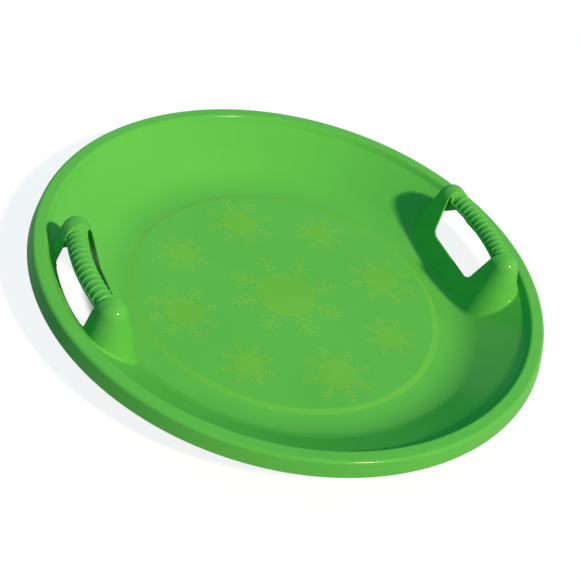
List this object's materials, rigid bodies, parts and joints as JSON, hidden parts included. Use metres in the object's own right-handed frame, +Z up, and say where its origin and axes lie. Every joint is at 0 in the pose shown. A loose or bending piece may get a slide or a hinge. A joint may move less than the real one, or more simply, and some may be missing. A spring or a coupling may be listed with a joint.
{
  "type": "saucer sled",
  "caption": "Round saucer sled: shallow dish with a flared wall, rolled rim and moulded ribbed hand grips over finger openings, for sliding on snow.",
  "frame": {"origin": "centre of the flat round underside", "axes": "+Z up out of the dish, +X through the middle of the right handle, +Y from the near side to the far side"},
  "size_m": [0.6599, 0.66, 0.0975],
  "materials": {
    "green_plastic": "glossy injection-moulded polyethylene in bright green, with a faint frosted snowflake pattern on the floor"
  },
  "bodies": {
    "root": {"floor_pan": "green_plastic", "side_wall": "green_plastic", "rim": "green_plastic", "left_panel": "green_plastic", "right_panel": "green_plastic", "left_posts": "green_plastic", "right_posts": "green_plastic", "left_grip": "green_plastic", "right_grip": "green_plastic"}
  },
  "joints": []
}
